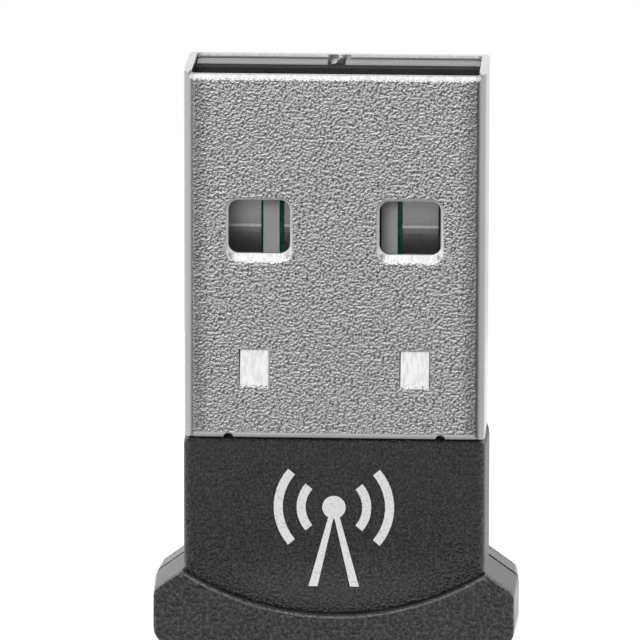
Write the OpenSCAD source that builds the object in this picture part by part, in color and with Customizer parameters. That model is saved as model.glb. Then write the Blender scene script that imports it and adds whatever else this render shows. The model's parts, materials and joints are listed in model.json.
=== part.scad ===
// Wireless adapter on a USB type A plug. It stands on its flat end with the plug's mouth up:
// x is its width, y runs from the front face to the back, z is its height from that end.

/* [Plug shell] */
// Width of the metal shell
shell_w = 12; // [11.8:0.05:12.2]
// Thickness of the metal shell, over both broad faces
shell_t = 4.5; // [4.4:0.05:4.7]
// Length of the metal shell, from the mouth to its rear rim
shell_l = 14.8; // [14.4:0.1:18]
// Thickness of the sheet that the shell is folded from
sheet = 0.3; // [0.25:0.01:0.32]
// Outside radius of the shell's four folds
fold_r = 0.45; // [0.4:0.01:0.6]
// Length of the coined lead-in at the mouth
lead_l = 0.3; // [0.2:0.01:0.5]
// Depth of the coined lead-in at the mouth
lead_d = 0.13; // [0.05:0.01:0.18]
// How far the front face ends short of the mouth
front_dip = 0.09; // [0.05:0.01:0.15]
// Length of the coined edge at the rear rim
rim_l = 0.12; // [0.06:0.01:0.2]
// Depth of the coined edge at the rear rim
rim_d = 0.07; // [0.03:0.01:0.15]
// Radius of the two carrier notches in the rear rim
notch_r = 0.19; // [0.1:0.01:0.3]
// Distance of each carrier notch from the middle
notch_x = 4.23; // [3.5:0.01:5]

/* [Latch windows] */
// Width of a latch window
latch_w = 2.45; // [2.2:0.05:2.8]
// Height of a latch window
latch_h = 2.15; // [2:0.05:2.6]
// Corner radius of a latch window
latch_r = 0.4; // [0.2:0.01:0.6]
// Distance of a latch window's near edge from the mouth
latch_from_mouth = 5.16; // [4.8:0.01:5.5]
// Reach of the coined rim below a latch window
ramp_l = 0.38; // [0.15:0.01:0.45]
// Reach of the coined rim at the window's other three sides
rim_reach = 0.11; // [0.05:0.01:0.2]
// Depth of the coined rim
ramp_d = 0.13; // [0.05:0.01:0.2]

/* [Locking lances] */
// Width of a locking lance
lance_w = 1.16; // [0.9:0.01:1.4]
// Length of a locking lance, from its root to its free end
lance_l = 1.54; // [1.1:0.01:1.6]
// Width of the slit that is cut round a lance
lance_slit = 0.03; // [0.02:0.01:0.1]
// Distance of a lance's free end from the rear rim
lance_from_rim = 3.6; // [3:0.1:3.8]
// Distance of each lance from the middle
lance_x = 3.2; // [2.8:0.01:3.5]
// Angle that a lance is bent inwards by
lance_angle = 13; // [8:1:16]

/* [Seam] */
// Width of the gap along the seam in the back face
seam_gap = 0.03; // [0.02:0.01:0.08]
// Length of the dovetail that locks the seam
dovetail_l = 2.4; // [1.8:0.1:3]
// Reach of the dovetail across the seam
dovetail_d = 1; // [0.7:0.05:1.3]
// Flare of the dovetail at its head
dovetail_flare = 0.3; // [0.1:0.05:0.5]
// Distance of the dovetail's middle from the mouth
dovetail_from_mouth = 8.6; // [8.4:0.1:9.2]
// Sideways place of the seam
seam_x = 0; // [-0.3:0.01:0.3]
// Width of the curled tab beside the seam, at the mouth
curl_w = 0.48; // [0.3:0.01:0.5]
// Depth of the curled tab
curl_d = 0.4; // [0.2:0.01:0.45]

/* [Insulator] */
// Thickness of the plastic tongue
tongue_t = 1.84; // [1.8:0.01:1.88]
// Depth of the tongue's end below the mouth
tongue_recess = 0.2; // [0.1:0.01:0.4]
// Clearance of the insulator in the shell
insulator_fit = 0.04; // [0.02:0.01:0.06]
// Depth below the mouth where the comb between the contacts begins
comb_from_mouth = 1; // [0.9:0.05:1.1]
// Width of the comb's end bar
comb_bar = 0.25; // [0.2:0.01:0.3]
// Thickness of the skin between the contacts and over the board's edges
skin = 0.15; // [0.12:0.01:0.2]
// Length of the rear block that fills the shell
block_l = 4.5; // [4.2:0.1:4.8]
// Thickness of the rear block's front wall
block_wall = 0.7; // [0.5:0.05:0.8]
// Thickness of the rear block's roof
roof_t = 0.9; // [0.7:0.05:0.95]
// Width of a rib between two contacts
rib_w = 0.65; // [0.5:0.01:0.7]
// Sideways place of the middle rib
rib_x = -0.27; // [-0.3:0.01:0]
// Length of the tail that the housing holds
tail_l = 1.6; // [1.5:0.05:2]
// Length of the groove round the tail
groove_l = 0.7; // [0.6:0.05:0.8]
// Depth that the housing's lip reaches into the groove
lip_d = 0.25; // [0.15:0.01:0.3]

/* [Board] */
// Wall of the housing's bore and of the insulator's tail, beside the circuit board
board_margin = 0.48; // [0.45:0.01:0.6]
// Wall of the insulator beside the wider part of the circuit board
head_margin = 0.21; // [0.2:0.01:0.5]
// Thickness of the circuit board
board_t = 0.75; // [0.6:0.05:0.8]
// Depth of the circuit board's end below the tongue's
board_recess = 0.06; // [0.03:0.01:0.1]
// Sideways place of the contacts on the circuit board
contact_x = -0.21; // [-0.25:0.01:0]
// Clearance round the circuit board
board_fit = 0.05; // [0.03:0.01:0.06]
// Space between two contacts
contact_gap = 0.91; // [0.85:0.01:1]
// Distance of the outer contacts' middles from the shell's sides, on average
contact_edge = 2.46; // [2.4:0.01:2.5]
// Thickness of a contact
contact_t = 0.08; // [0.06:0.01:0.1]
// Height of the contacts' bowed part over the board
bow_h = 0.13; // [0.1:0.01:0.18]
// Length of the bow on each side of its ridge
bow_l = 1.5; // [1.2:0.05:1.8]
// Place of the bow's ridge along a contact, where 0 is its nose and 1 its rear end
bow_place = 0.65; // [0.6:0.01:0.7]
// Distance of the outer contacts' noses from the mouth
contact_from_mouth = 1.45; // [1.4:0.01:1.6]
// How much further back the two data contacts begin
data_setback = 0.5; // [0.3:0.05:1]
// Distance of the contacts' rear ends from the rear block
contact_end_gap = 0.8; // [0.7:0.05:1]

/* [Housing] */
// Length of the housing
housing_l = 8.45; // [8.4:0.05:9.2]
// Gap between the housing and the shell's rear rim
rim_gap = 0.06; // [0.03:0.01:0.12]
// How much wider than the shell the neck is, at the parting line
neck_over = 0.24; // [0.2:0.01:0.5]
// Thickness of the neck
neck_t = 4.6; // [4.6:0.05:4.8]
// How far the grip stands out beyond the neck, to each side
grip_over = 1.22; // [1.2:0.01:1.5]
// Thickness of the grip
grip_t = 5.4; // [5.3:0.05:6]
// Height of the grip's straight sides
side_h = 2.22; // [2.1:0.01:2.4]
// Height where the sloping shoulders meet the neck
shoulder_h = 3.1; // [3.05:0.01:3.3]
// How far each side leans in from the parting line to a face
draft = 0.12; // [0.04:0.01:0.16]
// Radius of the grip's corners in the front view
grip_r = 0.75; // [0.4:0.01:0.9]
// Radius where the shoulders turn into the straight sides
shoulder_r = 0.4; // [0.3:0.01:0.6]
// Radius along the edges of the two faces
edge_r = 0.18; // [0.1:0.01:0.25]
// Radius of the neck's top corners
neck_r = 0.3; // [0.26:0.01:0.4]
// Drop of the curved step at the middle of the face
step_drop = 1.8; // [1.6:0.01:2]
// Width of the groove along the foot of the step
step_groove = 0.07; // [0.05:0.01:0.2]
// Depth of that groove
step_groove_d = 0.08; // [0.05:0.01:0.15]
// Height of the chamfer along the top of the step
step_edge_l = 0.1; // [0.05:0.01:0.2]
// Depth of that chamfer
step_edge_d = 0.04; // [0.02:0.01:0.1]
// Radius of the neck's upright front edges
neck_edge_r = 0.3; // [0.1:0.01:0.35]
// Radius of the neck's upright back edges
neck_back_r = 0.7; // [0.3:0.05:0.8]
// Thickness of the housing's walls
wall = 0.6; // [0.5:0.01:0.62]
// Place of the parting line, behind the middle plane of the plug
parting_y = 0.6; // [0.4:0.05:0.7]
// Width of the open line between the two covers
parting_gap = 0.28; // [0.1:0.01:0.32]
// Depth of the open line between the two covers
parting_d = 0.26; // [0.1:0.01:0.28]
// Radius of the two locating posts
post_r = 0.35; // [0.25:0.01:0.37]
// Clearance of a locating post in its socket
post_fit = 0.05; // [0.03:0.01:0.07]
// Thickness of the wall round a socket
socket_wall = 0.25; // [0.2:0.01:0.27]

/* [Printed mark] */
// Width of the mark over its outer arcs, as a share of the housing's length
mark_size = 0.57; // [0.45:0.01:0.6]
// Width of the mark's lines
mark_line = 0.36; // [0.25:0.01:0.4]
// Height of the mark's middle, as a share of the housing's length
mark_place = 0.675; // [0.6:0.005:0.7]
// Thickness of the ink
ink_t = 0.02; // [0.01:0.005:0.03]

/* [Chips] */
// Side of the radio chip
radio_side = 4.6; // [4:0.1:4.8]
// Thickness of the radio chip
radio_t = 0.85; // [0.7:0.05:0.9]
// Width and length of the crystal's can
crystal_w = 2.5; // [2:0.05:2.6]
// Length of the crystal's can
crystal_l = 3.2; // [2.5:0.05:3.3]
// Thickness of the crystal's can
crystal_t = 0.7; // [0.5:0.05:0.8]
// Length of a small chip part
chip_l = 1; // [0.8:0.05:1.1]
// Width and thickness of a small chip part
chip_w = 0.5; // [0.4:0.02:0.55]
// Width of the aerial's copper track
track_w = 0.3; // [0.2:0.01:0.35]
// Space between the aerial and the parts above it
aerial_gap = 0.41; // [0.3:0.01:0.6]
// Thickness of the copper track
track_t = 0.05; // [0.03:0.01:0.07]

/* [Hidden] */
$fn = 48;
over = 0.2;
touch = 0.01;
trim = 0.02;
arc_steps = 6;
edge_steps = 4;
bow_steps = 7;

z_mouth = shell_l + rim_gap + housing_l;
z_rim = housing_l + rim_gap;
shell_in_x = shell_w / 2 - sheet;
shell_in_y = shell_t / 2 - sheet;
latch_x = shell_w / 4;
neck_w = shell_w + neck_over;
grip_w = neck_w + 2 * grip_over;

// The insulator fills the shell's inside, less its clearance.
ins_x = shell_in_x - insulator_fit;
ins_y = shell_in_y - insulator_fit;
ins_r = max(fold_r - sheet, 0.1) + 0.08;
tongue_y = ins_y - tongue_t;
tongue_z = z_mouth - tongue_recess;
block_z = z_rim + block_l;
bay_z = block_z - block_wall;
tail_z = z_rim - tail_l;
bay_roof_y = -ins_y + roof_t;

// The board lies under the tongue's skin.
board_y = tongue_y + skin;
board_back_y = board_y + board_t;
board_top_z = tongue_z - board_recess;
board_bottom_z = wall + 2 * board_fit;
board_w = 2 * (neck_w / 2 - draft - wall - trim - board_margin);
board_head_w = 2 * (ins_x - head_margin);
comb_z = z_mouth - comb_from_mouth;
head_z = z_rim + 2 * skin;
contact_pitch = (shell_w - 2 * contact_edge) / 3;
contact_w = contact_pitch - contact_gap;
contact_y = board_y - contact_t;
contact_rear_z = block_z + contact_end_gap;
contact_top_z = z_mouth - contact_from_mouth;
contact_centres = [for (i = [-1.5:1:1.5]) contact_x + i * contact_pitch];

// Lances and their pockets.
lance_top_z = z_rim + lance_from_rim;
lance_root_z = lance_top_z - lance_slit - lance_l;
pocket_gap = 0.4 * sheet;
pocket_d = lance_l * sin(lance_angle) + sheet / 3;

// The housing: the cavity holds the insulator's tail.
neck_in_x = neck_w / 2 - draft - wall - trim;
neck_in_y = neck_t / 2 - wall;
lip_l = groove_l - 2 * board_fit;
lip_y = neck_in_y - lip_d;
tail_x = neck_in_x - board_fit;
tail_y = neck_in_y - board_fit;
tail_groove_y = lip_y - board_fit;
half_chord = neck_w / 2;
step_r = (half_chord * half_chord + step_drop * step_drop) / (2 * step_drop);
step_z = shoulder_h - step_drop + step_r;
socket_r = post_r + post_fit + socket_wall;
post_x = board_w / 2 + 2 * board_fit + socket_r;
post_z = wall + socket_r + 3 * post_fit;
post_tip_y = parting_y + 3 * socket_wall;
hold_w = 8 * board_fit;
rest_w = 10 * board_fit;

// Unit vector along v.
function unit(v) = v / norm(v);

// Unit vector that points inwards from the side that runs from a to b.
function inward(a, b) = let (v = unit(b - a)) [-v.y, v.x];

// Corner i of an outline whose sides have all moved inwards by d.
function inset_corner(c, i, d) =
    let (n = len(c), a = inward(c[(i + n - 1) % n], c[i]), b = inward(c[i], c[(i + 1) % n]))
    c[i] + (a + b) * d / (1 + a * b);

// The arc of radius r that rounds corner i.
function corner_arc(c, i, r) =
    let (n = len(c), a = inward(c[(i + n - 1) % n], c[i]), b = inward(c[i], c[(i + 1) % n]),
        m = inset_corner(c, i, r), start = atan2(-a.y, -a.x),
        turn = (atan2(-b.y, -b.x) - start + 540) % 360 - 180)
    [for (k = [0:arc_steps]) let (t = start + turn * k / arc_steps) m + r * [cos(t), sin(t)]];

// An outline whose sides have moved inwards by d. Radius 0 leaves a corner sharp.
function rounded_outline(corners, radii, d) =
    let (c = [for (i = [0:len(corners) - 1]) inset_corner(corners, i, d)])
    [for (i = [0:len(c) - 1]) each radii[i] > 0 ? corner_arc(c, i, radii[i] - d) : [c[i]]];

// A solid skinned over layers of as many points each: a layer is [y, points in x and z].
// Each outline is the same left and right, and begins with the arc of a lower left corner.
module skinned(layers) {
    n = len(layers[0][1]);
    m = arc_steps + 1;
    last = (len(layers) - 1) * n;
    points = [for (l = layers) for (p = l[1]) [p.x, l[0], p.y]];
    sides = [for (k = [0:len(layers) - 2]) for (i = [0:n - 1])
        let (a = k * n + i, b = k * n + (i + 1) % n) each [[b + n, a + n, a], [b, b + n, a]]];
    front = [for (k = [0:n / 2 - 2])
        [(m - 2 - k + n) % n, (m + k + 1) % n, (m + k) % n, (m - 1 - k + n) % n]];
    back = [for (f = front) [for (i = [3:-1:0]) last + f[i]]];
    polyhedron(points, concat(front, sides, back), convexity = 4);
}

// The housing's corners in the front view, with its sides leaning in by lean.
function housing_corners(lean) =
    let (g = grip_w / 2 - lean, n = neck_w / 2 - lean)
    [[-g, -trim], [g, -trim], [g, side_h], [n, shoulder_h], [n, housing_l],
        [-n, housing_l], [-n, shoulder_h], [-g, side_h]];
housing_radii = [grip_r, grip_r, shoulder_r, 0, neck_r, neck_r, 0, shoulder_r];

// Half of the housing, as thick as the grip: from its round-edged face to the plane y = part.
module housing_blank(part) {
    face = [for (k = [0:edge_steps]) let (t = 90 * k / edge_steps)
        [edge_r * (1 - cos(t)) - grip_t / 2,
            rounded_outline(housing_corners(draft), housing_radii, edge_r * (1 - sin(t)))]];
    skinned(concat(face, [[part, rounded_outline(housing_corners(0), housing_radii, 0)]]));
}

// Flat outline with round corners, centred.
module round_rect(w, h, r) {
    square([w - 2 * r, h], center = true);
    square([w, h - 2 * r], center = true);
    for (x = [-1, 1], y = [-1, 1])
        translate([x * (w / 2 - r), y * (h / 2 - r)]) circle(r);
}

// Stands a drawing in x and z up, from y = from to y = to.
module through_y(from, to) {
    translate([0, to, 0]) rotate([90, 0, 0]) linear_extrude(to - from) children();
}

// Runs a drawing in y and z along x, centred.
module along_x(length) {
    rotate([90, 0, 90]) linear_extrude(length, center = true) children();
}

// A box from its corners.
module box(low, high) {
    translate(low) cube(high - low);
}

// The arch over the face that leaves the grip standing proud below the chamfered step.
module step_cutter() {
    through_y(-grip_t / 2 - over, -neck_t / 2) translate([0, step_z]) circle(step_r, $fn = 96);
    translate([0, step_edge_d - grip_t / 2, step_z]) rotate([90, 0, 0])
        cylinder(r1 = step_r, r2 = step_r + 2 * step_edge_l, h = 2 * step_edge_d, $fn = 96);
}

// The fine groove along the foot of the step.
module step_groove() {
    through_y(-neck_t / 2 - over, -neck_t / 2 + step_groove_d) intersection() {
        translate([0, step_z]) difference() {
            circle(step_r, $fn = 96);
            circle(step_r - step_groove, $fn = 96);
        }
        translate([-neck_w / 2 - over, 0]) square([neck_w + 2 * over, shoulder_h]);
    }
}

// What a rounded edge at the origin lacks of a square one.
module edge_profile(r) {
    polygon(concat([[2 * over, 2 * over], [over, -r - 2 * over]],
        [for (k = [0:edge_steps]) let (t = 90 * k / edge_steps) r * [cos(t) - 1, sin(t) - 1]],
        [[-r - 2 * over, over]]));
}

// Half of the housing in front of the plane y = part, with edges of radius r on its neck.
module half_housing(part, r) {
    difference() {
        housing_blank(part);
        step_cutter();
        step_groove();
        for (side = [0, 1]) mirror([side, 0, 0])
            translate([neck_w / 2 - draft, -neck_t / 2, shoulder_h - trim]) mirror([0, 1, 0])
                linear_extrude(housing_l) edge_profile(r);
        translate([0, -neck_t / 2, housing_l]) mirror([0, 1, 0]) along_x(neck_w + 2 * over)
            edge_profile(neck_edge_r / 2);
        box([-grip_w, -grip_t, -trim - over], [grip_w, grip_t, 0]);
    }
}

// Hollow of the housing: the grip's pocket, the neck's bore and the lipped opening.
module housing_hollow() {
    through_y(-neck_in_y, neck_in_y)
        polygon([for (i = [0:7]) inset_corner(housing_corners(draft), i, wall + trim)]);
    box([-neck_in_x, -neck_in_y, side_h], [neck_in_x, neck_in_y, housing_l - lip_l]);
    box([-neck_in_x, -lip_y, side_h], [neck_in_x, lip_y, housing_l + over]);
}

module front_cover() {
    color([0.13, 0.13, 0.135]) {
        difference() {
            half_housing(parting_y, neck_edge_r);
            housing_hollow();
        }
        for (side = [-1, 1]) {
            translate([side * post_x, 0, post_z]) rotate([-90, 0, 0])
                translate([0, 0, -neck_in_y - touch])
                    cylinder(r = post_r, h = post_tip_y + neck_in_y + touch);
            hold_down(side);
        }
    }
}

// Rib that holds one edge of the board back against the other cover.
module hold_down(side) {
    edge = side * (board_w / 2 - 0.75 * hold_w);
    box([edge - hold_w / 2, -neck_in_y - touch, tail_z - 2.7 * hold_w],
        [edge + hold_w / 2, board_y, tail_z - hold_w / 2]);
}

module back_cover() {
    color([0.12, 0.12, 0.125]) {
        difference() {
            mirror([0, 1, 0]) half_housing(-parting_y, neck_back_r);
            housing_hollow();
            parting_line();
        }
        for (side = [-1, 1]) {
            difference() {
                translate([side * post_x, 0, post_z]) rotate([-90, 0, 0])
                    translate([0, 0, parting_y])
                        cylinder(r = socket_r, h = neck_in_y - parting_y + touch);
                translate([side * post_x, 0, post_z]) rotate([-90, 0, 0])
                    translate([0, 0, parting_y - over])
                        cylinder(r = post_r + post_fit, h = post_tip_y - parting_y + 2 * over);
            }
            box([side * board_w * 0.35 - rest_w / 2, board_back_y, board_bottom_z],
                [side * board_w * 0.35 + rest_w / 2, neck_in_y + touch, (board_bottom_z + tail_z) / 2]);
        }
    }
}

// The open line round the rim of the back cover.
module parting_line() {
    difference() {
        box([-grip_w, parting_y - over, -over], [grip_w, parting_y + parting_gap, housing_l + over]);
        through_y(parting_y - 2 * over, parting_y + parting_gap + over)
            polygon(rounded_outline(housing_corners(0), housing_radii, parting_d));
    }
}

// Cross-section of the shell.
module shell_section() {
    difference() {
        round_rect(shell_w, shell_t, fold_r);
        round_rect(2 * shell_in_x, 2 * shell_in_y, fold_r - sheet);
    }
}

// Coined lead-in on the front face, which ends short of the mouth by dip.
module mouth_bevel(dip) {
    y = -shell_t / 2;
    along_x(shell_w - fold_r)
        polygon([[y - over, z_mouth + over], [y - over, z_mouth - lead_l], [y, z_mouth - lead_l],
            [y + lead_d, z_mouth - dip], [y + sheet + over, z_mouth - dip], [y + sheet + over, z_mouth + over]]);
}

// Coined edge on the front face at the rear rim.
module rim_bevel() {
    y = -shell_t / 2;
    along_x(shell_w - fold_r)
        polygon([[y - over, z_rim - over], [y + rim_d, z_rim - over], [y + rim_d, z_rim],
            [y, z_rim + rim_l], [y - over, z_rim + rim_l]]);
}

// One latch window in the front face, with its coined rim, which reaches furthest below it.
module latch_window() {
    low = z_mouth - latch_from_mouth - latch_h;
    y = -shell_t / 2;
    translate([0, 0, low + latch_h / 2]) {
        through_y(y - over, y + sheet + over) round_rect(latch_w, latch_h, latch_r);
        hull() {
            through_y(y + ramp_d - touch, y + ramp_d) round_rect(latch_w, latch_h, latch_r);
            through_y(y - touch, y) translate([0, (rim_reach - ramp_l) / 2])
                round_rect(latch_w + 2 * rim_reach, latch_h + rim_reach + ramp_l, latch_r + rim_reach);
        }
    }
}

// Window cut for one lance in the front face.
module lance_window() {
    y = -shell_t / 2;
    box([-lance_w / 2 - lance_slit, y - over, lance_root_z],
        [lance_w / 2 + lance_slit, y + sheet + over, lance_top_z]);
}

// One lance, bent inwards about its root.
module lance() {
    y = -shell_t / 2;
    translate([0, y, lance_root_z]) rotate([-lance_angle, 0, 0])
        box([-lance_w / 2, 0, 0], [lance_w / 2, sheet * 0.8, lance_l]);
    box([-lance_w / 2 - lance_slit, y + 0.1 * sheet, lance_root_z - touch],
        [lance_w / 2 + lance_slit, y + sheet, lance_root_z + sheet / 4]);
}

// The seam's path, from the rim to the mouth, with the dovetail on it.
seam_low = z_mouth - dovetail_from_mouth - dovetail_l / 2;
seam_high = seam_low + dovetail_l;
seam_path = [[0, z_rim - over], [0, seam_low], [dovetail_d, seam_low - dovetail_flare],
    [dovetail_d, seam_high + dovetail_flare], [0, seam_high], [0, z_mouth + over]];

// The gap along the seam, cut through the back face.
module seam() {
    through_y(shell_in_y - over, shell_t / 2 + over) translate([seam_x, 0]) {
        for (i = [0:len(seam_path) - 2]) {
            v = seam_path[i + 1] - seam_path[i];
            translate(seam_path[i]) rotate(atan2(v.y, v.x))
                translate([0, -seam_gap / 2]) square([norm(v), seam_gap]);
        }
        for (i = [1:len(seam_path) - 2]) translate(seam_path[i]) circle(seam_gap / 2);
    }
}

// Hooked tab beside the seam, bent inwards so that it bites into the tongue.
module curl() {
    hook = [[0.14, -0.07], [0.32, -0.2], [0.2, -0.45], [0.28, -0.7], [0.06, -0.92],
        [-0.46, -0.92], [-0.72, -0.76], [-0.55, -0.62], [-0.25, -0.56], [-0.07, -0.28]];
    root = [[0.14, -0.07], [0.32, -0.2], [0.2, -0.45], [0.08, -0.35]];
    translate([seam_x, 0, z_mouth]) {
        through_y(shell_in_y - curl_d, shell_in_y - insulator_fit) polygon(curl_w * hook);
        through_y(shell_in_y - insulator_fit - touch, shell_in_y + touch) polygon(curl_w * root);
    }
}

module usb_shell() {
    color([0.66, 0.66, 0.66]) {
        difference() {
            translate([0, 0, z_rim]) linear_extrude(shell_l) shell_section();
            for (back = [0, 1]) mirror([0, back, 0]) {
                mouth_bevel(front_dip * (1 - back));
                rim_bevel();
                for (side = [-1, 1]) {
                    translate([side * latch_x, 0, 0]) latch_window();
                    translate([side * lance_x, 0, 0]) lance_window();
                }
            }
            for (side = [-1, 1])
                through_y(-shell_t / 2 - over, -shell_in_y + over)
                    translate([side * notch_x, z_rim]) circle(notch_r);
            seam();
        }
        for (back = [0, 1], side = [-1, 1])
            mirror([0, back, 0]) translate([side * lance_x, 0, 0]) lance();
        curl();
    }
}

// Outside of the insulator: the tongue, the rear block and the grooved tail.
module insulator_body() {
    translate([0, 0, z_rim]) linear_extrude(tongue_z - z_rim) difference() {
        round_rect(2 * ins_x, 2 * ins_y, ins_r);
        translate([-ins_x - over, -ins_y - over]) square([2 * (ins_x + over), tongue_y + ins_y + over]);
    }
    translate([0, 0, z_rim]) linear_extrude(block_z - z_rim) round_rect(2 * ins_x, 2 * ins_y, ins_r);
    box([-tail_x, -tail_groove_y, tail_z], [tail_x, tail_groove_y, z_rim + touch]);
    box([-tail_x, -tail_y, tail_z], [tail_x, tail_y, z_rim - groove_l - rim_gap]);
}

module insulator() {
    slot = board_w / 2 + board_fit;
    head_slot = board_head_w / 2 + board_fit;
    bay = board_w / 2 - skin;
    window = contact_pitch - rib_w;
    color([0.66, 0.66, 0.65]) difference() {
        insulator_body();
        box([-slot, board_y, tail_z - over], [slot, board_back_y + board_fit, tongue_z]);
        box([-head_slot, board_y, head_z - board_fit], [head_slot, board_back_y + board_fit, tongue_z + over]);
        box([-ins_x - over, tongue_y - over, comb_z], [ins_x + over, board_back_y + board_fit, tongue_z + over]);
        box([-bay, bay_roof_y, tail_z - over], [bay, board_y + touch, bay_z]);
        for (i = [-1.5:1:1.5])
            box([rib_x + i * contact_pitch - window / 2, tongue_y - over, contact_rear_z - skin],
                [rib_x + i * contact_pitch + window / 2, board_y + touch, comb_z - comb_bar]);
        for (back = [0, 1], side = [-1, 1])
            mirror([0, back, 0]) translate([side * lance_x, 0, 0])
                box([-lance_w / 2 - pocket_gap, -ins_y - over, lance_root_z - pocket_gap],
                    [lance_w / 2 + pocket_gap, -shell_in_y + pocket_d, lance_top_z]);
        for (side = [-1, 1])
            through_y(-ins_y - over, -ins_y + 2 * notch_r) translate([side * notch_x, z_rim]) circle(notch_r);
        box([seam_x - 0.94 * curl_w, board_back_y, tongue_z - 0.8 * curl_w],
            [seam_x + 0.56 * curl_w, ins_y + over, tongue_z + over]);
    }
}

module circuit_board() {
    color([0.05, 0.24, 0.14]) {
        box([-board_w / 2, board_y, board_bottom_z], [board_w / 2, board_back_y, board_top_z]);
        box([-board_head_w / 2, board_y, head_z], [board_head_w / 2, board_back_y, board_top_z]);
        box([-ins_x, board_y, comb_z + board_fit], [ins_x, board_back_y, board_top_z]);
    }
}

// Height of a contact's bow over the board, where u runs from -1 to 1 over its length.
function bow(u) = bow_h * (1 + cos(180 * u)) / 2;

// One contact strip, bowed up in the middle, with a sloping nose towards the mouth.
module contact(i) {
    nose = contact_top_z - (abs(i) < 1 ? data_setback : 0);
    ridge = contact_top_z - bow_place * (contact_top_z - contact_rear_z);
    steps = [for (k = [-bow_steps:bow_steps]) k / bow_steps];
    color([0.78, 0.77, 0.74]) translate([contact_centres[i + 1.5], 0, 0]) along_x(contact_w)
        polygon(concat([[board_y, contact_rear_z], [contact_y, contact_rear_z]],
            [for (u = steps) [contact_y - bow(u), ridge + u * bow_l]],
            [[contact_y, nose - 2.5 * contact_t], [board_y - contact_t / 3, nose], [board_y, nose]],
            [for (u = steps) [board_y - bow(u), ridge - u * bow_l]]));
}

module contact_solder() {
    color([0.7, 0.71, 0.72]) for (x = contact_centres)
        translate([x, 0, contact_rear_z]) along_x(0.8 * contact_w)
            polygon([[board_y, 0], [board_y, -1.5 * contact_t], [contact_y, 0]]);
}

// The chips' sizes and places count in steps of a grid that goes with the board's width.
grid = board_w / 98;

// A flat chip that stands on the board: width, height and thickness, centred at x and z.
module chip_body(x, z, w, h, t, lift = 0) {
    box([x - w / 2, board_y - lift - t, z - h / 2], [x + w / 2, board_y - lift, z + h / 2]);
}

chip_gap = (board_w - radio_side - crystal_w) / 3;
radio_x = chip_gap + radio_side / 2 - board_w / 2;
radio_z = bay_z - 3 * grid - radio_side / 2;
radio_lift = 0.4 * grid;
crystal_x = board_w / 2 - chip_gap - crystal_w / 2;
crystal_z = bay_z - 4 * grid - crystal_l / 2;
bead_z = crystal_z - crystal_l / 2 - chip_w / 2 - 3 * grid;
low_z = tail_z - 5 * grid;

// A dimple that marks a chip's first lead, at a depth of d in its face at y.
module first_lead(x, y, z, r, d) {
    translate([x, y - over, z]) rotate([-90, 0, 0]) cylinder(r = r, h = over + d);
}

module radio_chip() {
    corner = radio_side / 2 - 5 * grid;
    color([0.08, 0.08, 0.09]) difference() {
        chip_body(radio_x, radio_z, radio_side, radio_side, radio_t - radio_lift, radio_lift);
        first_lead(radio_x - corner, board_y - radio_t, radio_z + corner, 2 * grid, 0.4 * grid);
    }
}

// The chip's solder lands along its four sides, and the large one under it.
module radio_chip_pads() {
    count = 8;
    pitch = radio_side / (count + 1.2);
    inner = radio_side - 3.2 * pitch;
    color([0.75, 0.73, 0.66]) {
        chip_body(radio_x, radio_z, inner, inner, radio_lift);
        for (turn = [0:90:270], k = [0:count - 1])
            translate([radio_x, 0, radio_z]) rotate([0, turn, 0])
                chip_body((k - (count - 1) / 2) * pitch, radio_side / 2 - 0.3 * pitch,
                    pitch / 2, 0.7 * pitch, radio_lift);
    }
}

module crystal() {
    color([0.8, 0.8, 0.8]) {
        chip_body(crystal_x, crystal_z, crystal_w, crystal_l, crystal_t * 0.6);
        chip_body(crystal_x, crystal_z, crystal_w - 3 * grid, crystal_l - 3 * grid, crystal_t);
    }
}

memory_x = board_w / 2 - 21.5 * grid;
memory_t = 7.5 * grid;
module memory_chip() {
    color([0.1, 0.1, 0.1]) difference() {
        chip_body(memory_x, low_z - 10 * grid, 30 * grid, 20 * grid, memory_t);
        first_lead(memory_x - 12 * grid, board_y - memory_t, low_z - 4 * grid, 1.5 * grid, 0.3 * grid);
    }
}

regulator_x = 29.5 * grid - board_w / 2;
regulator_z = low_z - 10 * grid;
module voltage_regulator() {
    color([0.09, 0.09, 0.09])
        chip_body(regulator_x, regulator_z, 29 * grid, 13 * grid, 10 * grid, grid);
}

// Five bent leads of the regulator: two on the upper side and three on the lower.
module regulator_leads() {
    color([0.76, 0.76, 0.76]) for (lead = [[-1, 1], [1, 1], [-1, -1], [0, -1], [1, -1]])
        translate([regulator_x + lead[0] * 9.5 * grid, board_y, regulator_z + lead[1] * 6.5 * grid])
            mirror([0, 0, lead[1] < 0 ? 1 : 0]) along_x(4 * grid)
                polygon(grid * [[-6, 0], [-6, 1.2], [-1, 2], [-1, 4.2], [0, 4.2], [0, 0.8], [-4.5, 0]]);
}

// The column between the regulator and the memory.
column_x = 3.5 * grid;
module surge_protector() {
    color([0.1, 0.1, 0.1]) chip_body(column_x, low_z - 5.5 * grid, 10 * grid, 6 * grid, 5 * grid);
}

module radio_filter() {
    color([0.55, 0.6, 0.62])
        chip_body(column_x, low_z - 19.5 * grid, 12.5 * grid, 12.4 * grid, 8 * grid);
}

// A chip part with its two end caps, along x or z.
module chip_part(x, z, upright) {
    cap = 0.22 * chip_l;
    translate([x, 0, z]) rotate([0, upright ? 90 : 0, 0]) {
        chip_body(0, 0, chip_l - cap / 2, chip_w - 2 * ink_t, chip_w - ink_t);
        for (side = [-1, 1]) chip_body(side * (chip_l - cap) / 2, 0, cap, chip_w, chip_w);
    }
}

module ferrite_bead() {
    color([0.2, 0.19, 0.18]) chip_part(crystal_x, bead_z, false);
}

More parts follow.
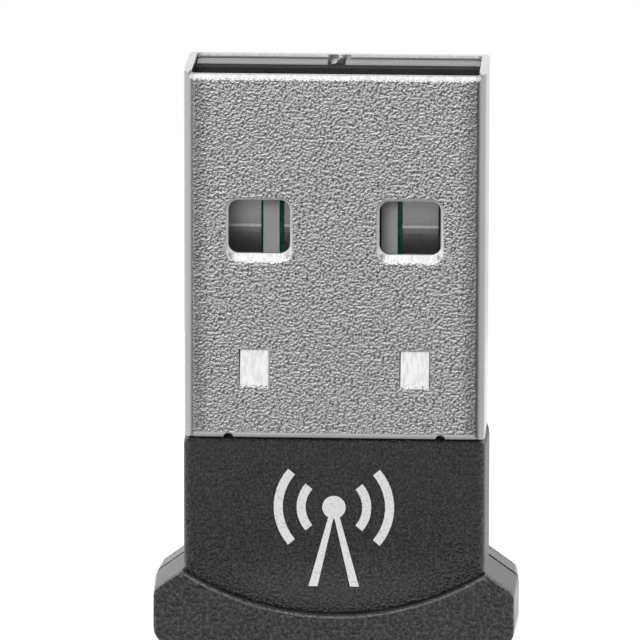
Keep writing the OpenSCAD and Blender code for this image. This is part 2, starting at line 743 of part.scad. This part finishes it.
row_z = low_z - 26.5 * grid;
module capacitors() {
    color([0.62, 0.5, 0.36]) {
        for (side = [-1, 1])
            chip_part(crystal_x + side * 7 * grid, bead_z - (chip_w + chip_l) / 2 - board_fit, true);
        for (k = [0:2]) chip_part(9 * grid - board_w / 2, row_z + k * 8 * grid, false);
    }
}

module resistors() {
    color([0.12, 0.12, 0.14]) for (k = [0:2])
        chip_part(memory_x + (10.5 * k - 10) * grid, row_z, false);
}

// The aerial: a folded copper track across the board's far end, with its feed.
aerial_passes = 10;
track_pitch = 8.5 * grid;
aerial_x = -(aerial_passes - 1) * track_pitch / 2;
aerial_z = board_bottom_z + 2 * grid;
module printed_aerial() {
    y = board_y - track_t;
    top = row_z - chip_w / 2 - aerial_gap;
    color([0.72, 0.45, 0.25]) {
        for (k = [0:aerial_passes - 1])
            box([aerial_x + k * track_pitch - track_w / 2, y, aerial_z],
                [aerial_x + k * track_pitch + track_w / 2, board_y, top]);
        for (k = [0:aerial_passes - 2])
            box([aerial_x + k * track_pitch, y, k % 2 ? aerial_z : top - track_w],
                [aerial_x + (k + 1) * track_pitch, board_y, k % 2 ? aerial_z + track_w : top]);
    }
}

// A ring's part within an angle to either side of the x axis.
module arc_pair(r) {
    intersection() {
        difference() {
            circle(r);
            circle(r - mark_line);
        }
        for (side = [-1, 1]) polygon([[0, 0], [side * 2 * r, 1.7 * r], [side * 2 * r, -1.7 * r]]);
    }
}

// The mark on the label panel: a mast with a dot at its top and waves to either side.
module printed_mark() {
    r = mark_size * housing_l / 2;
    foot = 1.35 * r;
    color([0.8, 0.8, 0.8]) translate([0, 0, mark_place * housing_l])
        through_y(-neck_t / 2 - ink_t, -neck_t / 2) {
            circle(mark_line * 1.3);
            arc_pair(r);
            arc_pair(r * 0.62);
            for (side = [-1, 1])
                polygon([[0, -mark_line], [side * mark_line * 0.6, -mark_line], [side * 0.42 * r, -foot],
                    [side * (0.42 * r - mark_line), -foot]]);
        }
}

usb_shell();
insulator();
circuit_board();
contact(-1.5);  // contact_power
contact(-0.5);  // contact_data_minus
contact(0.5);  // contact_data_plus
contact(1.5);  // contact_ground
contact_solder();
radio_chip();
radio_chip_pads();
crystal();
memory_chip();
voltage_regulator();
regulator_leads();
surge_protector();
radio_filter();
ferrite_bead();
capacitors();
resistors();
printed_aerial();
front_cover();
back_cover();
printed_mark();
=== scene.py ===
import json
import math

import bmesh
import bpy
from mathutils import Matrix, Vector


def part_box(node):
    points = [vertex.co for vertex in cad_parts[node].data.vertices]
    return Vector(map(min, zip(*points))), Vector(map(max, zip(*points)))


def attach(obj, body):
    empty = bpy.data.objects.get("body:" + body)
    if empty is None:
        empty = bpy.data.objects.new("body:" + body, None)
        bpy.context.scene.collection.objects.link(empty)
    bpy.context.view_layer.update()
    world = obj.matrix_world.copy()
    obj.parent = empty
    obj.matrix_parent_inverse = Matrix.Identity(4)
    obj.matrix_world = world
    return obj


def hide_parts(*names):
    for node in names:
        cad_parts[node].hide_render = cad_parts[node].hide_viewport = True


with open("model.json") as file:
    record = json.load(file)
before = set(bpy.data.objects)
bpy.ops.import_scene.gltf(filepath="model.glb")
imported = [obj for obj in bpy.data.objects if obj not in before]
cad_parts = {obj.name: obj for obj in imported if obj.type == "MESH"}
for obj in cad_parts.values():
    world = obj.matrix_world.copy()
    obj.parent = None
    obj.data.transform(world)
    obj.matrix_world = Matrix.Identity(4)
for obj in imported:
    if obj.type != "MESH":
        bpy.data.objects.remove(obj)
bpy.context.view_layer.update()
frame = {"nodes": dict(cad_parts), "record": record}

MM = 0.001
SHELL_LOW, SHELL_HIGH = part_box("usb_shell")
SIDE_X = SHELL_HIGH.x
FACE_Y = SHELL_HIGH.y
REAR_Z = SHELL_LOW.z
MOUTH_Z = SHELL_HIGH.z
WINDOW_TOP = MOUTH_Z - 5.16 * MM
WINDOW_LOW = WINDOW_TOP - 2.15 * MM
CREST_Z = WINDOW_TOP - 1.46 * MM
GRIP_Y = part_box("back_cover")[1].y
SHOULDER_Z = 3.1 * MM

WELD = 0.0005 * MM
FLAT_ANGLE = math.radians(0.3)
SHARP_ANGLE = math.radians(32)
SQUARE = 0.05


def tone(level):
    """The linear strength of a grey of 0 to 255 as a screen shows it."""
    v = level / 255
    return v / 12.92 if v <= 0.04045 else ((v + 0.055) / 1.055) ** 2.4


def grey(level):
    return (tone(level), tone(level), tone(level), 1)


def colour(red, green, blue):
    return (tone(red), tone(green), tone(blue), 1)


class Wire:
    """A value in a material. Its operators add Math nodes, and node() adds any other."""

    def __init__(self, tree, socket=None):
        self.tree = tree
        self.socket = socket

    def node(self, kind, settings=None, inputs=None, output=0):
        made = self.tree.nodes.new(kind)
        for key, value in (settings or {}).items():
            setattr(made, key, value)
        for key, value in (inputs or {}).items():
            if isinstance(value, Wire):
                self.tree.links.new(value.socket, made.inputs[key])
            else:
                made.inputs[key].default_value = value
        return Wire(self.tree, made.outputs[output])

    def math(self, operation, *values):
        return self.node("ShaderNodeMath", {"operation": operation}, dict(enumerate(values)))

    def __add__(self, other):
        return self.math("ADD", self, other)

    def __radd__(self, other):
        return self.math("ADD", other, self)

    def __sub__(self, other):
        return self.math("SUBTRACT", self, other)

    def __rsub__(self, other):
        return self.math("SUBTRACT", other, self)

    def __mul__(self, other):
        return self.math("MULTIPLY", self, other)

    def __rmul__(self, other):
        return self.math("MULTIPLY", other, self)

    def size(self):
        return self.math("ABSOLUTE", self)

    def ramp(self, low, high):
        """0 where this is at low, 1 at high, smooth between them."""
        settings = {"interpolation_type": "SMOOTHSTEP"}
        return self.node("ShaderNodeMapRange", settings, {"Value": self, "From Min": low, "From Max": high})

    def mix(self, first, second):
        """The first colour where this is 0, the second where it is 1."""
        settings = {"data_type": "RGBA"}
        return self.node("ShaderNodeMix", settings, {0: self, 6: first, 7: second}, 2)


class Finish:
    """A material under way: its surface, and the values that its patterns start from."""

    def __init__(self, name, **constants):
        self.material = bpy.data.materials.new(name)
        self.material.use_nodes = True
        self.tree = self.material.node_tree
        self.surface = self.tree.nodes["Principled BSDF"]
        for key, value in constants.items():
            self.surface.inputs[key.replace("_", " ").title()].default_value = value
        self.start = Wire(self.tree)
        self.place = self.start.node("ShaderNodeTexCoord", output="Object")

    def axis(self, name):
        return self.start.node("ShaderNodeSeparateXYZ", None, {"Vector": self.place}, name)

    def grain(self, size, detail=2.0):
        """Noise of 0 to 1 whose lumps are about size across."""
        inputs = {"Vector": self.place, "Scale": 1 / size, "Detail": detail}
        return self.start.node("ShaderNodeTexNoise", None, inputs)

    def streaks(self, longer, scale):
        """Noise of 0 to 1 drawn out along the plug's length."""
        drawn = self.start.node(
            "ShaderNodeMapping", None, {"Vector": self.place, "Scale": (longer, longer, 1)}
        )
        inputs = {"Vector": drawn, "Scale": scale / longer, "Detail": 3.0}
        return self.start.node("ShaderNodeTexNoise", None, inputs)

    def feed(self, name, wire):
        self.tree.links.new(wire.socket, self.surface.inputs[name])

    def relief(self, height, depth, edge=0.0):
        """Bump of that depth from a height of 0 to 1, over edges rounded to the radius edge."""
        inputs = {"Height": height, "Distance": depth, "Strength": 1.0}
        if edge:
            inputs["Normal"] = self.start.node("ShaderNodeBevel", {"samples": 6}, {"Radius": edge})
        self.feed("Normal", self.start.node("ShaderNodeBump", None, inputs))


def shell_steel():
    """Rolled steel with an orange-peel face, smooth where the folds and the tools have stretched it."""
    f = Finish("shell_steel")
    peel = f.grain(0.112 * MM, detail=1.5)
    broad = f.grain(2.2 * MM)
    drawn = f.streaks(longer=12, scale=9000)
    sideways = f.axis("X").size()
    across = f.axis("Y").size()
    height = f.axis("Z")

    # The rolled faces, between the folds and above the smooth hem of the rear rim
    flat = sideways.ramp(SIDE_X - 0.30 * MM, SIDE_X - 0.5 * MM)
    near_fold = sideways.ramp(SIDE_X - 1.1 * MM, SIDE_X - 0.5 * MM)
    outside = across.ramp(FACE_Y - 0.04 * MM, FACE_Y - 0.01 * MM)
    hem = height.ramp(REAR_Z + 0.22 * MM, REAR_Z + 0.18 * MM)
    rolled = flat * outside * (1 - hem)
    pits = rolled * peel.ramp(0.5, 0.3)

    # What the tools have struck, and in it the rims at the sides and the head of the windows, which are made
    # dull and pale as a painted highlight
    coined = flat * (1 - outside)
    shallow = across.ramp(FACE_Y - 0.14 * MM, FACE_Y - 0.12 * MM)
    above_sill = height.ramp(WINDOW_LOW - 0.04 * MM, WINDOW_LOW + 0.1 * MM)
    below_head = height.ramp(WINDOW_TOP + 0.3 * MM, WINDOW_TOP + 0.2 * MM)
    rim = coined * shallow * above_sill * below_head

    # The inner wall at the mouth beside the hooked tab, painted darker below its lip as shade, the lip made
    # dull and pale as a painted highlight, and the cut end of the sheet
    inside = across.ramp(FACE_Y - 0.22 * MM, FACE_Y - 0.28 * MM)
    beside_hook = sideways.ramp(0.42 * MM, 0.5 * MM)
    inner = inside * flat * beside_hook * height.ramp(MOUTH_Z - 0.7 * MM, MOUTH_Z - 0.5 * MM)
    lip = inner * height.ramp(MOUTH_Z - 0.16 * MM, MOUTH_Z - 0.09 * MM)
    cut = height.ramp(MOUTH_Z - 0.02 * MM, MOUTH_Z - 0.005 * MM)

    # Painted shade: the pits of the orange peel and the face beside each fold are painted darker
    peel_and_fold_shade = pits.mix(near_fold.mix(grey(221), grey(180)), grey(164))
    struck = coined.mix(peel_and_fold_shade, drawn.ramp(0.35, 0.65).mix(grey(206), grey(224)))
    folded = (1 - flat).mix(struck, grey(190))
    # Painted shade on the inner wall below the lip
    shaded_inner = (inner - lip).mix(folded, grey(150))
    # The rear hem is made dull and pale, a painted highlight
    hemmed = (hem * flat).mix(shaded_inner, grey(180))
    f.feed("Base Color", cut.mix(hemmed, grey(240)))
    # Dull where painted highlights stand: the window rims, the lip and the rear hem
    f.feed("Metallic", 1 - (rim + lip + hem * flat) * 0.8)
    f.feed("Roughness", 0.24 + broad * 0.05 + (rim + cut) * 0.3)
    f.relief(0.5 + (peel - 0.5) * (0.03 + rolled * 0.97), depth=0.055 * MM, edge=0.05 * MM)
    return f.material


def housing_black():
    """Spark-eroded black plastic on the two faces, coarser on the grip, and smooth on the sides."""
    f = Finish("housing_black")
    panel = f.grain(0.11 * MM, detail=1.5)
    coarse = f.grain(0.15 * MM, detail=1.5)
    broad = f.grain(3 * MM)
    across = f.axis("Y").size()
    height = f.axis("Z")

    # The two faces, the grip that stands proud of them, and what lies below the shoulders' top
    face = across.ramp(FACE_Y - 0.15 * MM, FACE_Y)
    proud = across.ramp(FACE_Y + 0.15 * MM, FACE_Y + 0.3 * MM)
    sloping = height.ramp(SHOULDER_Z + 0.4 * MM, SHOULDER_Z)

    # The curved step up to the grip and its upper edge, painted paler than the faces as a highlight, the
    # edge paler still
    arc = f.axis("X").size().ramp(SIDE_X + 0.2 * MM, SIDE_X) * height.ramp(0.3 * MM, 0.5 * MM)
    below_face = across.ramp(GRIP_Y, GRIP_Y - 0.01 * MM)
    ledge = across.ramp(FACE_Y + 0.08 * MM, FACE_Y + 0.1 * MM) * below_face
    edge = across.ramp(GRIP_Y - 0.05 * MM, GRIP_Y - 0.04 * MM) * below_face

    # Random grain, partly painted highlight: the raised lumps of the relief are painted paler
    low = (panel.ramp(0.4, 0.72) * 0.8 + broad * 0.2).mix(grey(10), grey(60))
    high = (coarse.ramp(0.4, 0.72) * 0.8 + broad * 0.2).mix(grey(12), grey(84))
    step_highlight = (ledge * arc).mix(proud.mix(low, high), grey(80))
    f.feed("Base Color", (edge * arc).mix(step_highlight, grey(112)))
    f.feed("Roughness", 0.34 - face * 0.12 - (1 - face) * sloping * 0.14 + panel * 0.08 + broad * 0.05)
    grain = (panel - 0.5) * (1 - proud) * 1.4 + (coarse - 0.5) * proud * 3
    calm = 1 - height.ramp(4.4 * MM, 2.0 * MM) * (1 - proud) * 0.6
    f.relief(0.5 + grain * calm * (0.06 + face * 0.94), depth=0.2 * MM, edge=0.08 * MM)
    return f.material


def grey_plastic():
    """Pale moulded plastic with slow clouds of tone, and painted shade making the tip of the tongue a little
    darker.
    """
    f = Finish("grey_plastic")
    flow = f.grain(1.4 * MM)
    fine = f.grain(0.12 * MM)
    tip = f.axis("Z").ramp(MOUTH_Z - 1.6 * MM, MOUTH_Z - 1.2 * MM)
    f.feed("Base Color", tip.mix(flow.mix(grey(176), grey(194)), grey(164)))
    f.feed("Roughness", 0.36 + fine * 0.12)
    f.relief(fine, depth=0.006 * MM, edge=0.05 * MM)
    return f.material


def contact_metal():
    """Tinned strip with fine lines along its length from rolling, with a painted highlight across its crest.
    """
    f = Finish("contact_metal", metallic=1.0)
    lines = f.streaks(longer=9, scale=22500)
    crest_highlight = (f.axis("Z") - CREST_Z).size().ramp(0.09 * MM, 0.0) * (0.4 + lines)
    f.feed("Base Color", crest_highlight.mix(lines.mix(grey(150), grey(184)), grey(240)))
    f.feed("Roughness", 0.38 + lines * 0.12)
    f.relief(lines, depth=0.003 * MM, edge=0.04 * MM)
    return f.material


def board_green():
    """Solder mask over copper tracks, with a dull dark edge at the mouth."""
    f = Finish("board_green")
    f.surface.inputs["Specular IOR Level"].default_value = 0.3
    cells = {"Vector": f.place, "Scale": 1400.0}
    tracks = f.start.node("ShaderNodeTexVoronoi", {"feature": "DISTANCE_TO_EDGE"}, cells).ramp(0.03, 0.09)
    weave = f.grain(0.1 * MM)
    dark_end = f.axis("Z").ramp(MOUTH_Z - 1.2 * MM, MOUTH_Z - 1.0 * MM)
    mask = (tracks * 0.7 + weave * 0.3).mix(colour(14, 60, 40), colour(26, 88, 56))
    f.feed("Base Color", dark_end.mix(mask, weave.mix(grey(28), grey(52))))
    f.feed("Roughness", 0.28 + weave * 0.12 + dark_end * 0.5)
    f.relief(tracks, depth=0.02 * MM)
    return f.material


def moulded(name, low, high, size, rough):
    """Matt moulded or fired body with a fine grain."""
    f = Finish(name)
    fine = f.grain(size, detail=3.0)
    f.feed("Base Color", fine.mix(low, high))
    f.feed("Roughness", rough + fine * 0.15)
    f.relief(fine, depth=0.01 * MM, edge=0.03 * MM)
    return f.material


def plated(name, low, high, size, rough):
    """Soft bright metal: solder, tin or nickel plate, or bare copper."""
    f = Finish(name, metallic=1.0)
    fine = f.grain(size)
    f.feed("Base Color", fine.mix(low, high))
    f.feed("Roughness", rough + fine * 0.12)
    f.relief(fine, depth=0.008 * MM, edge=0.03 * MM)
    return f.material


def ink_grey():
    """Pad-printed ink, a little thin over the texture of the plastic."""
    f = Finish("ink_grey")
    fine = f.grain(0.09 * MM)
    f.feed("Base Color", fine.ramp(0.25, 0.5).mix(grey(176), grey(214)))
    f.feed("Roughness", 0.5 + fine * 0.2)
    f.relief(fine, depth=0.008 * MM)
    return f.material


FINISHES = {
    "shell_steel": shell_steel(),
    "housing_black": housing_black(),
    "grey_plastic": grey_plastic(),
    "contact_metal": contact_metal(),
    "board_green": board_green(),
    "ink_grey": ink_grey(),
    "solder": plated("solder", grey(186), grey(214), 0.15 * MM, 0.22),
    "can_metal": plated("can_metal", grey(196), grey(216), 0.5 * MM, 0.28),
    "copper_track": plated("copper_track", colour(190, 116, 70), colour(214, 140, 92), 0.2 * MM, 0.3),
    "chip_black": moulded("chip_black", grey(30), grey(46), 0.07 * MM, 0.45),
    "filter_ceramic": moulded("filter_ceramic", colour(150, 158, 160), colour(170, 178, 180), 0.1 * MM, 0.4),
    "ferrite": moulded("ferrite", grey(44), grey(66), 0.05 * MM, 0.55),
    "capacitor_ceramic": moulded(
        "capacitor_ceramic", colour(150, 120, 84), colour(176, 142, 104), 0.08 * MM, 0.35
    ),
    "resistor_ceramic": moulded("resistor_ceramic", grey(34), grey(54), 0.08 * MM, 0.3),
}
SLOT_OF = {part["node"]: part["material_slot"] for part in frame["record"]["subparts"]}


def paint(piece, slot):
    piece.data.materials.clear()
    piece.data.materials.append(FINISHES[slot])


def new_piece(name, mesh, slot, *nodes):
    """A finished piece at the origin that stands for the CAD nodes."""
    piece = bpy.data.objects.new(name, mesh)
    bpy.context.scene.collection.objects.link(piece)
    paint(piece, slot)
    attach(piece, "root")
    if nodes:
        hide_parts(*nodes)
    weigh = piece.modifiers.new("flat_faces_first", "WEIGHTED_NORMAL")
    weigh.mode = "FACE_AREA"
    weigh.weight = 100
    weigh.keep_sharp = True
    return piece


def welded(node):
    """The node's shape with its triangles joined and its flat faces whole."""
    shape = bmesh.new()
    shape.from_mesh(frame["nodes"][node].data)
    bmesh.ops.remove_doubles(shape, verts=shape.verts, dist=WELD)
    bmesh.ops.dissolve_limit(shape, angle_limit=FLAT_ANGLE, verts=shape.verts, edges=shape.edges)
    return shape


def is_turned(edge):
    """True between two facets of the shell's folds or of a window's round corner."""
    first, second = (face.normal for face in edge.link_faces)
    return any(abs(first[axis]) < SQUARE and abs(second[axis]) < SQUARE for axis in (1, 2))


def smoothed(shape, name, folds_only):
    """A mesh that shades smoothly over its curves, but not over an edge past the sharp angle."""
    for edge in shape.edges:
        gentle = len(edge.link_faces) == 2 and edge.calc_face_angle() < SHARP_ANGLE
        edge.smooth = gentle and (is_turned(edge) or not folds_only)
    for face in shape.faces:
        face.smooth = True
    mesh = bpy.data.meshes.new(name)
    shape.to_mesh(mesh)
    shape.free()
    return mesh


def refined(node, name, folds_only=False):
    """The CAD node's own shape, joined up and smooth over its curves."""
    return new_piece(name, smoothed(welded(node), name, folds_only), SLOT_OF[node], node)


for node, thing in frame["nodes"].items():
    paint(thing, SLOT_OF[node])
refined("usb_shell", "folded_shell", folds_only=True)
refined("insulator", "tongue_and_block")
refined("front_cover", "front_half")
refined("back_cover", "back_half")


def seen_by(start, kind):
    """1 for that kind of ray, else 0."""
    return start.node("ShaderNodeLightPath", output=f"Is {kind} Ray")


def mirrored_or_through(start):
    """1 for what metal mirrors and what glass lets through, else 0."""
    return start.math("MAXIMUM", seen_by(start, "Glossy"), seen_by(start, "Transmission"))


def floor():
    """White ground that keeps the shadow. It ends short in front, out of the flat faces' mirror."""
    half_side = 32 * MM
    middle = Vector((0, 24, -0.02)) * MM
    mesh = bpy.data.meshes.new("ground")
    shape = bmesh.new()
    bmesh.ops.create_grid(shape, x_segments=1, y_segments=1, size=half_side)
    bmesh.ops.translate(shape, verts=shape.verts, vec=middle)
    shape.to_mesh(mesh)
    shape.free()
    ground = bpy.data.objects.new("ground", mesh)
    bpy.context.scene.collection.objects.link(ground)
    material = bpy.data.materials.new("ground_white")
    material.use_nodes = True
    start = Wire(material.node_tree)
    surface = material.node_tree.nodes["Principled BSDF"]
    surface.inputs["Base Color"].default_value = (0.8, 0.8, 0.8, 1)
    surface.inputs["Roughness"].default_value = 0.9
    surface.inputs["Emission Color"].default_value = (1, 1, 1, 1)
    shown = (seen_by(start, "Camera") + mirrored_or_through(start)) * 0.7
    material.node_tree.links.new(shown.socket, surface.inputs["Emission Strength"])
    mesh.materials.append(material)


def surroundings():
    """A white room for the metal to mirror, darker low in front, at two flags and overhead."""
    high_level = 1.4
    back_level = 0.85
    ceiling_level = 0.2
    world = bpy.data.worlds.new("room")
    bpy.context.scene.world = world
    world.use_nodes = True
    tree = world.node_tree
    start = Wire(tree)
    toward = start.node("ShaderNodeTexCoord", output="Generated")
    right, away, up = (
        start.node("ShaderNodeSeparateXYZ", None, {"Vector": toward}, axis) for axis in "XYZ"
    )
    side = right.size()
    behind = away.ramp(0.2, 0.7)
    overhead = (up + away * 0.5).ramp(0.5, 0.9)

    # A flag dims the room on each side of the front, whose light grows upwards and to the left
    flag = side.ramp(0.28, 0.4) * (1 - side.ramp(0.55, 0.75))
    low = (side.ramp(0.55, 0.95) * 0.5 + 0.12) * (1 - flag * 0.6)
    slanted = up * 0.8 + (right.ramp(0.5, -0.5) - 0.5) * (1 - side.ramp(0.3, 0.55) * 0.8) * 0.56
    front = low + slanted.ramp(-0.38, 0.28) * (high_level - low) * (1 - flag * 0.85)
    around = front + behind * (back_level - front)
    room = around + overhead * (ceiling_level - around)
    seen = start.math("MAXIMUM", seen_by(start, "Camera"), mirrored_or_through(start) * behind)
    strength = seen + (1 - seen) * room
    tree.nodes["Background"].inputs["Color"].default_value = (1, 1, 1, 1)
    tree.links.new(strength.socket, tree.nodes["Background"].inputs["Strength"])


def lamp(name, place, aim, size, watts, mirrored=True):
    data = bpy.data.lights.new(name, "AREA")
    data.size = size
    data.energy = watts
    thing = bpy.data.objects.new(name, data)
    thing.location = place
    thing.rotation_euler = (aim - place).to_track_quat("-Z", "Y").to_euler()
    thing.visible_glossy = mirrored
    bpy.context.scene.collection.objects.link(thing)


def camera():
    """The photograph's camera, fitted to the plug's standard width."""
    turn = math.radians(2.56)
    lift = math.radians(12.44)
    roll = math.radians(0.135)
    distance = 350 * MM
    aim = Vector((0, 0, MOUTH_Z - 11.5 * MM))
    back = Vector((math.sin(turn) * math.cos(lift), -math.cos(turn) * math.cos(lift), math.sin(lift)))
    data = bpy.data.cameras.new("camera")
    data.sensor_width = 36
    data.lens = 491.8
    data.shift_x = -0.0264
    data.shift_y = 0.0398
    data.clip_start = 0.01
    thing = bpy.data.objects.new("camera", data)
    thing.matrix_world = (
        Matrix.Translation(aim + back * distance)
        @ (-back).to_track_quat("-Z", "Y").to_matrix().to_4x4()
        @ Matrix.Rotation(roll, 4, "Z")
    )
    bpy.context.scene.collection.objects.link(thing)
    bpy.context.scene.camera = thing


floor()
surroundings()
lamp("key", Vector((-120, -160, 190)) * MM, Vector((0, 0, 12)) * MM, size=90 * MM, watts=0.15)
lamp(
    "fill",
    Vector((-30, -330, 110)) * MM,
    Vector((0, 0, 14)) * MM,
    size=60 * MM,
    watts=0.35,
    mirrored=False,
)
camera()
bpy.context.scene.view_settings.view_transform = "Standard"
